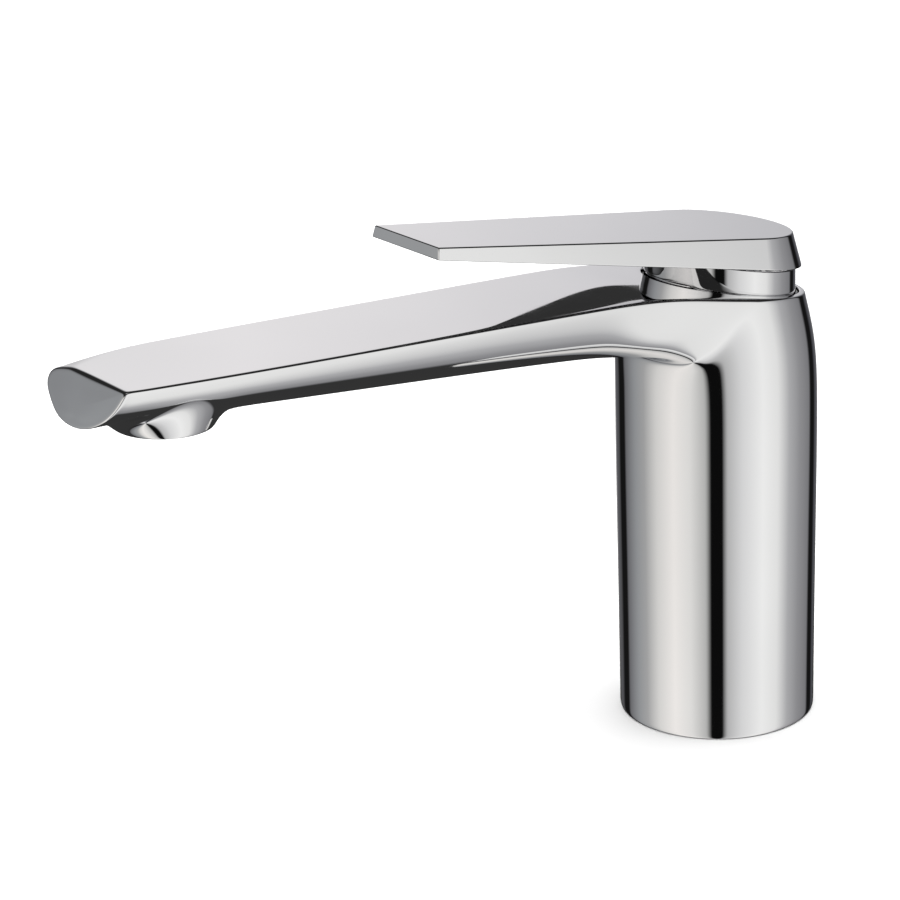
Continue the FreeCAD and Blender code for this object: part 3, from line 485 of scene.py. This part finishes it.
def buildCasting(plan):
    bm = bmesh.new()
    count = plan["segments"]
    half = count // 2
    opening = plan["opening"]
    ring = bmesh.ops.create_circle(bm, cap_ends=False, segments=count, radius=1.0)["verts"]
    ring.sort(key=lambda vert: math.atan2(-vert.co.x, vert.co.y))  # starts and ends at the front

    def angleOf(index, sideAngle):
        # degrees from the front, evenly spaced on each side of the spout's own side line
        steps = abs(index)
        if steps <= opening:
            return math.copysign(sideAngle * steps / opening, index)
        rest = (180 - sideAngle) * (steps - opening) / (half - opening)
        return math.copysign(sideAngle + rest, index)

    order = list(range(-half, half))  # index 0 is the front

    def placeRow(row, radius, heightOf, sideAngle=180 * opening / half, back=0.0, flare=0.0):
        for vert, index in zip(row, order):
            turn = math.radians(angleOf(index, sideAngle))
            fade = plan["flareFade"] ** abs(abs(index) - opening)
            out = radius * plan["swell"] + flare * fade
            x = out * math.sin(turn)
            y = back - out * math.cos(turn)
            vert.co = (x, y, heightOf(index, x, y))

    rows = [ring]
    placeRow(ring, plan["insideRows"][0][0], lambda i, x, y: plan["insideRows"][0][1])
    for radius, height in plan["insideRows"][1:] + plan["outsideRows"]:
        rows.append(extrudeLoop(bm, rows[-1]))
        placeRow(rows[-1], radius, lambda i, x, y: height)
    for index in plan["creasedRows"]:
        creaseLoop(bm, rows[index], plan["crease"])

    # shoulder rows follow the sloping rim, and dip under the spout
    def shoulderHeight(drop, middleDip, sideDip):
        def heightOf(index, x, y):
            steps = abs(index)
            if steps <= opening:
                bend = max(math.cos(math.pi / 2 * steps / opening), 0.0) ** plan["dipRound"]
                dip = sideDip + (middleDip - sideDip) * bend
            else:
                dip = sideDip * plan["dipFade"] ** (steps - opening)
            return rimPlane(y) - drop - dip
        return heightOf

    for drop, radius, sideAngle, middleDip, sideDip, flare in plan["shoulderRows"]:
        rows.append(extrudeLoop(bm, rows[-1]))
        placeRow(rows[-1], radius, shoulderHeight(drop, middleDip, sideDip), sideAngle,
                 flare=flare)
    bottomRow = rows[-1]
    for drop, radius, sideAngle, sideDip, flare in plan["sideRows"]:
        rows.append(extrudeLoop(bm, rows[-1]))
        placeRow(rows[-1], radius, shoulderHeight(drop, sideDip, sideDip), sideAngle, flare=flare)
    sideAngle = plan["sideRows"][-1][2]
    for radius in plan["rimRows"]:
        rows.append(extrudeLoop(bm, rows[-1]))
        placeRow(rows[-1], radius, lambda i, x, y: rimPlane(y), sideAngle, back=plan["rimBack"])
    rimRow = rows[-len(plan["rimRows"])]
    for drop, radius in plan["recessRows"]:
        rows.append(extrudeLoop(bm, rows[-1]))
        placeRow(rows[-1], radius, lambda i, x, y: rimPlane(y) - drop, back=plan["controlBack"])
    well = [(plan["recessRadius"], plan["recessFloor"]), (plan["nutBore"], plan["recessFloor"]),
            (plan["nutBore"], plan["nutSeat"]), (plan["chamberRadius"], plan["nutSeat"]),
            (plan["chamberRadius"], plan["chamberFloor"])]
    for radius, height in well:
        rows.append(extrudeLoop(bm, rows[-1]))
        placeRow(rows[-1], radius, lambda i, x, y: height, back=plan["controlBack"])
        creaseLoop(bm, rows[-1], 1.0)
    bmesh.ops.contextual_create(bm, geom=rows[-1])

    # front faces between the bottom row and the rim come out, for the spout
    first = rows.index(bottomRow)
    last = rows.index(rimRow)
    at = {(r, index): rows[r][index + half] for r in range(first, last + 1) for index in order}
    doomed = []
    for r in range(first, last):
        for index in range(-opening, opening):
            corners = {at[r, index], at[r, index + 1], at[r + 1, index], at[r + 1, index + 1]}
            doomed += [face for face in at[r, index].link_faces if set(face.verts) == corners]
    bottom = [at[first, index] for index in range(-opening, opening + 1)]
    rightSide = [at[r, opening] for r in range(first + 1, last + 1)]
    top = [at[last, index] for index in range(opening - 1, -opening, -1)]
    leftSide = [at[r, -opening] for r in range(last, first, -1)]
    bmesh.ops.delete(bm, geom=doomed, context="FACES")
    mouth = bottom + rightSide + top + leftSide
    for step, vert in enumerate(top):
        across = opening - 1 - step
        x, reach = plan["frontOfRim"][abs(across)]
        vert.co = (math.copysign(x, across), -reach, topHeight(-reach))

    sides = len(rightSide)
    shares = plan["bellyShares"]

    def placeSpoutRing(ring, reachOf):
        # the ring runs from the far side under the belly to the near side, and back over the top
        for place, vert in enumerate(ring):
            index = place - opening
            if place > 2 * opening + sides:
                index -= len(ring)
            steps = abs(index)
            side = math.copysign(1, index)
            across = opening - (place - 2 * opening - sides)
            if place > 2 * opening + sides and abs(across) < opening:
                reach = reachOf(opening + sides)
                side = math.copysign(1, across)
                share, edge = plan["topInsets"]
                wide = sectionAt(reach)[0]
                vert.co = topPoint(reach, (wide, share * wide, edge)[abs(across)], side)
                if across == 1 - opening:
                    roundFarCorner(vert, "shoulder", reach)
                continue
            reach = reachOf(steps)
            if steps < opening + sides:
                vert.co = bellyPoint(reach, shares[steps], side)
            else:
                vert.co = topPoint(reach, plan["edgeInset"], side)
            if side < 0 and steps > opening:
                part = ("flank", "side", "under", "edge")[steps - opening - 1]
                roundFarCorner(vert, part, reach)

    rings = [mouth]
    for reaches in plan["rootReaches"]:
        rings.append(extrudeLoop(bm, rings[-1]))
        placeSpoutRing(rings[-1], lambda steps, reaches=reaches: reaches[steps])
    for reach in plan["stations"] + plan["bossStations"]:
        rings.append(extrudeLoop(bm, rings[-1]))
        placeSpoutRing(rings[-1], lambda steps, reach=reach: reach)
    bossRings = rings[-len(plan["bossStations"]):]

    # end face: rings on its sloping plane, then a slight dome inside them
    def onFace(point, back):
        forward = plan["faceReach"] + plan["faceRun"] * (plan["faceTop"] - point.z) - back
        return Vector((point.x, -forward, point.z))

    middle = plan["faceMiddle"]
    for back, shrink in plan["faceRings"]:
        rings.append(extrudeLoop(bm, rings[-1]))
        placeSpoutRing(rings[-1], lambda steps: plan["faceReach"])
        for vert in rings[-1]:
            inward = (middle - Vector((vert.co.x, 0.0, vert.co.z))).normalized() * shrink
            vert.co = onFace(vert.co + Vector((inward.x, 0.0, inward.z)), back)
    outermost = [vert.co.copy() for vert in rings[-1]]
    for share, crown in plan["faceDome"]:
        rings.append(extrudeLoop(bm, rings[-1]))
        for vert, edge in zip(rings[-1], outermost):
            vert.co = edge.lerp(onFace(middle, 0.0), share)
            vert.co.y -= crown
    bmesh.ops.contextual_create(bm, geom=rings[-1])

    # outlet boss: a round patch of the belly is opened and drawn down into the rim and bore
    doomed = []
    for near, far in zip(bossRings, bossRings[1:]):
        for place in range(2 * opening):
            corners = {near[place], near[place + 1], far[place], far[place + 1]}
            doomed += [face for face in near[place].link_faces if set(face.verts) == corners]
    front = bossRings[-1][:2 * opening + 1]
    back = bossRings[0][:2 * opening + 1]
    right = [ring[2 * opening] for ring in bossRings[1:-1]]
    left = [ring[0] for ring in bossRings[1:-1]]
    bmesh.ops.delete(bm, geom=doomed, context="FACES")
    patch = front + right[::-1] + back[::-1] + left
    start = math.degrees(2 * math.pi / len(patch)) * opening
    turns = [math.radians(-start + 360 / len(patch) * place) for place in range(len(patch))]

    def placeBossRing(ring, radius, longer, heightOf):
        # longer: how far the ring is drawn out towards the tip
        for turn, vert in zip(turns, ring):
            ahead = max(math.cos(turn), 0.0) ** plan["bossPoint"]
            x = radius * math.sin(turn)
            reach = plan["outletReach"] + radius * math.cos(turn) + longer * ahead
            vert.co = (x, -reach, heightOf(reach, x))

    def rimAt(reach):
        return plan["bossRim"] + plan["bossTilt"] * (reach - plan["outletReach"])

    placeBossRing(patch, *plan["bossRoot"], bellyHeight)
    roots = [vert.co.z for vert in patch]
    ring = patch
    for radius, longer, share in plan["bossFlank"]:
        ring = extrudeLoop(bm, ring)
        placeBossRing(ring, radius * plan["bossSwell"], longer, lambda reach, x: rimAt(reach))
        for vert, root in zip(ring, roots):
            vert.co.z += share * (root - vert.co.z)
    for radius, height in plan["bossBore"]:
        ring = extrudeLoop(bm, ring)
        lift = height - plan["bossRim"]
        placeBossRing(ring, radius * plan["bossSwell"], 0.0,
                      lambda reach, x: rimAt(reach) + lift)
    bmesh.ops.contextual_create(bm, geom=ring)
    creaseLoop(bm, ring, 1.0)
    piece = finishPiece(bm, "bodyCasting", "faucet", "polishedChrome", "polished_chrome",
                        "body_casting")
    smooth = piece.modifiers.new("smoothCasting", "SUBSURF")
    smooth.levels = plan["smoothing"]
    smooth.render_levels = plan["smoothing"]
    return piece


casting = buildCasting(castingPlan)
print("body casting shaped:", len(casting.data.polygons), "cage faces")


def turnProfile(bm, profile, steps, centre):
    # a closed profile of radius and height, turned once round the upright line through centre
    corners = [bm.verts.new((centre[0] + radius, centre[1], height)) for radius, height in profile]
    edges = [bm.edges.new((corners[i], corners[i - 1])) for i in range(len(corners))]
    bmesh.ops.spin(bm, geom=corners + edges, cent=(*centre, 0.0), axis=(0.0, 0.0, 1.0),
                   angle=math.tau, steps=steps, use_merge=True)


faceWeight = 80


def evenShading(piece):
    # flat faces stay flat and the narrow rounds take the bend
    weighted = piece.modifiers.new("evenShading", "WEIGHTED_NORMAL")
    weighted.mode = "FACE_AREA"
    weighted.weight = faceWeight


# the block over the hollow foot, with the holes for the supply and the fixings. In millimetres
basePlan = {
    "height": 54.0,
    "radius": 19.8,
    "thickness": 18.0,
    "steps": 96,
    # side, back, radius and depth of each hole
    "holes": [(-8.3, -3.0, 4.5, 17.0), (8.3, -3.0, 4.5, 17.0),
              (-13.5, 8.0, 3.4, 12.0), (13.5, 8.0, 3.4, 12.0)],
    "holeSteps": 40,
}


def buildBaseBlock(plan):
    bm = bmesh.new()
    outer = bmesh.ops.create_circle(bm, segments=plan["steps"], radius=plan["radius"])["verts"]
    loops = [(outer, plan["thickness"])]
    for side, back, radius, depth in plan["holes"]:
        hole = bmesh.ops.create_circle(bm, segments=plan["holeSteps"], radius=radius)["verts"]
        bmesh.ops.translate(bm, verts=hole, vec=(side, back, 0.0))
        loops.append((hole, depth))
    bmesh.ops.translate(bm, verts=bm.verts, vec=(0.0, 0.0, plan["height"]))
    bmesh.ops.triangle_fill(bm, edges=bm.edges, use_beauty=True)
    for loop, depth in loops:
        lifted = extrudeLoop(bm, loop)
        bmesh.ops.translate(bm, verts=lifted, vec=(0.0, 0.0, depth))
        bmesh.ops.contextual_create(bm, geom=lifted)
    piece = finishPiece(bm, "bodyBaseBlock", "faucet", "bareBrass", "turned_brass",
                        "body_casting")
    evenShading(piece)
    return piece


buildBaseBlock(basePlan)
print("base block pierced")


# the lever: a round heel and a thin blade, hollow over the collar. Sizes in millimetres
leverPlan = {
    # height on the column's axis, tilt in degrees, heel's radius and centre, length, and the
    # tip's half width
    "under": (120.95, 11.58, 20.7, 1.2, 95.7, 13.4),
    "top": (128.5, 8.86, 17.8, 1.9, 94.3, 12.8),
    "heelSteps": 64,
    "sideSteps": 6,
    "tipSteps": 4,
    "edgeRound": 0.35,
    "roundSteps": 3,
    "cavityRadii": (19.7, 16.2),  # at the mouth and at the ceiling
    "mouthDrop": 0.5,  # the cavity's cutter starts this far under the lever
    "wall": 1.5,
    "cavitySteps": 96,
    "hub": (7.0, 116.0, 0.7),  # radius, bottom, and how far its top lies under the lever's top
    "hubSteps": 64,
    "controlBack": 1.2,
    "screwHole": (2.55, 120.8, 18.0, 24.0),  # radius, height, start and end behind the axis
    "screwSteps": 40,
}


def tiltedPlane(height, tilt):
    return Matrix.Translation((0, 0, height)) @ Matrix.Rotation(-math.radians(tilt), 4, "X")


def drawStraight(bm, chain, end, steps):
    # carries the chain of vertices on to the end point in equal steps
    stride = (Vector(end) - chain[-1].co) / steps
    for _ in range(steps):
        onward = bmesh.ops.extrude_vert_indiv(bm, verts=[chain[-1]])["verts"][0]
        onward.co += stride
        chain.append(onward)


def drawOutline(bm, plan, size):
    # heel arc spun from the point where the side meets it, then the sides and the tip
    height, tilt, radius, back, length, tipHalf = size
    toTip = math.atan2(-length - back, tipHalf)
    start = toTip + math.acos(radius / math.hypot(tipHalf, length + back))
    first = bm.verts.new((radius * math.cos(start), back + radius * math.sin(start), 0.0))
    bmesh.ops.spin(bm, geom=[first], cent=(0.0, back, 0.0), axis=(0.0, 0.0, 1.0),
                   angle=math.pi - 2 * start, steps=plan["heelSteps"])
    outline = [first]
    for _ in range(plan["heelSteps"]):
        neighbours = [edge.other_vert(outline[-1]) for edge in outline[-1].link_edges]
        outline.append(next(vert for vert in neighbours if vert not in outline))
    drawStraight(bm, outline, (-tipHalf, -length, 0.0), plan["sideSteps"])
    drawStraight(bm, outline, (tipHalf, -length, 0.0), plan["tipSteps"])
    drawStraight(bm, outline, first.co, plan["sideSteps"])
    bmesh.ops.pointmerge(bm, verts=[first, outline.pop()], merge_co=first.co)
    bmesh.ops.transform(bm, matrix=tiltedPlane(height, tilt), verts=outline)
    return outline


def carve(piece, buildCutter):
    # takes the cutter's shape out of the piece for good
    bm = bmesh.new()
    buildCutter(bm)
    bmesh.ops.recalc_face_normals(bm, faces=bm.faces)
    bmesh.ops.scale(bm, vec=(millimetre,) * 3, verts=bm.verts)
    for face in bm.faces:
        face.smooth = True
    mesh = bpy.data.meshes.new("cutter")
    bm.to_mesh(mesh)
    bm.free()
    cutter = bpy.data.objects.new("cutter", mesh)
    bpy.context.scene.collection.objects.link(cutter)
    cut = piece.modifiers.new("carve", "BOOLEAN")
    cut.operation = "DIFFERENCE"
    cut.solver = "EXACT"
    cut.object = cutter
    bpy.context.view_layer.update()
    shaped = piece.evaluated_get(bpy.context.evaluated_depsgraph_get())
    carved = bpy.data.meshes.new_from_object(shaped)
    piece.modifiers.remove(cut)
    piece.data = carved
    bpy.data.objects.remove(cutter)


def roundEdges(bm, edges, plan):
    bmesh.ops.bevel(bm, geom=edges, offset=plan["edgeRound"], offset_type="OFFSET",
                    segments=plan["roundSteps"], profile=0.5, affect="EDGES", material=-1,
                    clamp_overlap=True)


def buildLever(plan):
    bm = bmesh.new()
    under = drawOutline(bm, plan, plan["under"])
    top = drawOutline(bm, plan, plan["top"])
    outer = loopEdges(bm, under) + loopEdges(bm, top)
    bmesh.ops.bridge_loops(bm, edges=outer)
    bmesh.ops.contextual_create(bm, geom=top)
    bmesh.ops.contextual_create(bm, geom=under)
    farTip = plan["heelSteps"] + plan["sideSteps"]
    corners = [bm.edges.get((under[i], top[i])) for i in (farTip, farTip + plan["tipSteps"])]
    roundEdges(bm, outer + corners, plan)
    piece = finishPiece(bm, "leverHandle", "lever", "polishedChrome", "polished_chrome",
                        "lever_handle")

    def drawCavity(cutter):
        rings = []
        for size, radius, drop in zip((plan["under"], plan["top"]), plan["cavityRadii"],
                                      (plan["mouthDrop"], plan["wall"])):
            height, tilt, _, back, _, _ = size
            ring = bmesh.ops.create_circle(cutter, segments=plan["cavitySteps"],
                                           radius=radius)["verts"]
            bmesh.ops.translate(cutter, vec=(0.0, back, -drop), verts=ring)
            bmesh.ops.transform(cutter, matrix=tiltedPlane(height, tilt), verts=ring)
            rings.append(ring)
        bmesh.ops.bridge_loops(cutter, edges=list(cutter.edges))
        bmesh.ops.contextual_create(cutter, geom=rings[0])
        bmesh.ops.contextual_create(cutter, geom=rings[1])

    def drawScrewHole(cutter):
        radius, height, start, end = plan["screwHole"]
        rod = bmesh.ops.create_cone(cutter, cap_ends=True, segments=plan["screwSteps"],
                                    radius1=radius, radius2=radius, depth=end - start)["verts"]
        bmesh.ops.rotate(cutter, verts=rod, matrix=Matrix.Rotation(math.pi / 2, 3, "X"))
        bmesh.ops.translate(cutter, verts=rod, vec=(0.0, (start + end) / 2, height))

    carve(piece, drawCavity)
    carve(piece, drawScrewHole)
    evenShading(piece)
    return piece


def buildHub(plan):
    # the round boss in the cavity that grips the spindle
    bm = bmesh.new()
    radius, bottom, sunk = plan["hub"]
    height, tilt = plan["top"][:2]
    foot = bmesh.ops.create_circle(bm, segments=plan["hubSteps"], radius=radius)["verts"]
    bmesh.ops.translate(bm, verts=foot, vec=(0.0, plan["controlBack"], bottom))
    head = extrudeLoop(bm, foot)
    for vert in head:
        vert.co.z = height - sunk - vert.co.y * math.tan(math.radians(tilt))
    bmesh.ops.contextual_create(bm, geom=foot)
    bmesh.ops.contextual_create(bm, geom=head)
    roundEdges(bm, loopEdges(bm, foot), plan)
    piece = finishPiece(bm, "leverHub", "lever", "polishedChrome", "polished_chrome",
                        "lever_handle")
    evenShading(piece)
    return piece


lever = buildLever(leverPlan)
buildHub(leverPlan)
print("lever shaped:", len(lever.data.polygons), "faces")


# the collar that turns with the lever, its top cut to the lever's slope. Sizes in millimetres
collarPlan = {
    "outer": 18.9,
    "inner": 17.7,
    "bottom": 107.1,
    "webBottom": 108.6,
    "webTop": 110.6,
    "webInner": 10.05,
    "top": 120.20,  # on the column's axis
    "topSlope": 0.2049,
    "centre": (0.0, 1.2),
    "edgeRound": 0.25,
    "edgeBulge": 0.3,  # the middle of the outer round, as a share of it
    "steps": 128,
}


def buildCollar(plan):
    bm = bmesh.new()
    soft = plan["edgeRound"]
    bulge = soft * plan["edgeBulge"]
    outer, inner, top, bottom = plan["outer"], plan["inner"], plan["top"], plan["bottom"]
    profile = [(plan["webInner"], plan["webBottom"]), (inner, plan["webBottom"]),
               (inner, bottom + soft), (inner + soft, bottom), (outer - soft, bottom),
               (outer, bottom + soft), (outer, plan["webTop"]), (outer, top - soft),
               (outer - bulge, top - bulge), (outer - soft, top), (inner + soft, top),
               (inner, top - soft), (inner, plan["webTop"]), (plan["webInner"], plan["webTop"])]
    turnProfile(bm, profile, plan["steps"], plan["centre"])
    middle = (plan["webTop"] + top) / 2
    for vert in bm.verts:
        if vert.co.z > middle:
            vert.co.z -= plan["topSlope"] * vert.co.y
    piece = finishPiece(bm, "trimCollar", "swivel", "polishedChrome", "polished_chrome",
                        "trim_collar")
    evenShading(piece)
    return piece


buildCollar(collarPlan)
print("collar turned")


# parts that keep their CAD mesh take a finish each
carriedOver = {
    "base_seal": "blackRubber",
    "cartridge_base": "greyAcetal",
    "cartridge_port_seals": "blackRubber",
    "cartridge_housing": "whiteAcetal",
    "fixed_disc": "whiteCeramic",
    "temperature_limit_ring": "redNylon",
    "cartridge_nut": "bareBrass",
    "collar_guide_ring": "whiteAcetal",
    "aerator_shell": "polishedChrome",
    "aerator_flow_insert": "greyAcetal",
    "aerator_screen": "satinSteel",
    "flow_regulator": "whiteAcetal",
    "aerator_washer": "blackRubber",
    "rotor": "greyAcetal",
    "pivot_pin": "satinSteel",
    "collar_retaining_ring": "satinSteel",
    "moving_disc": "whiteCeramic",
    "disc_carrier": "greyAcetal",
    "spindle": "bareBrass",
    "handle_screw": "satinSteel",
    "screw_cover": "polishedChrome",
}


seamWidth = 0.00002  # metres
crispAngle = 28  # degrees


def dressNode(name, finish):
    node = nodes[name]
    node.data.materials.clear()
    node.data.materials.append(finishes[finish])
    node.data.polygons.foreach_set("use_smooth", [True] * len(node.data.polygons))
    merge = node.modifiers.new("mergeSeams", "WELD")
    merge.merge_threshold = seamWidth
    split = node.modifiers.new("crispEdges", "EDGE_SPLIT")
    split.split_angle = math.radians(crispAngle)


for name, finish in carriedOver.items():
    if not nodes[name].hide_render:
        dressNode(name, finish)
print("inner parts finished")
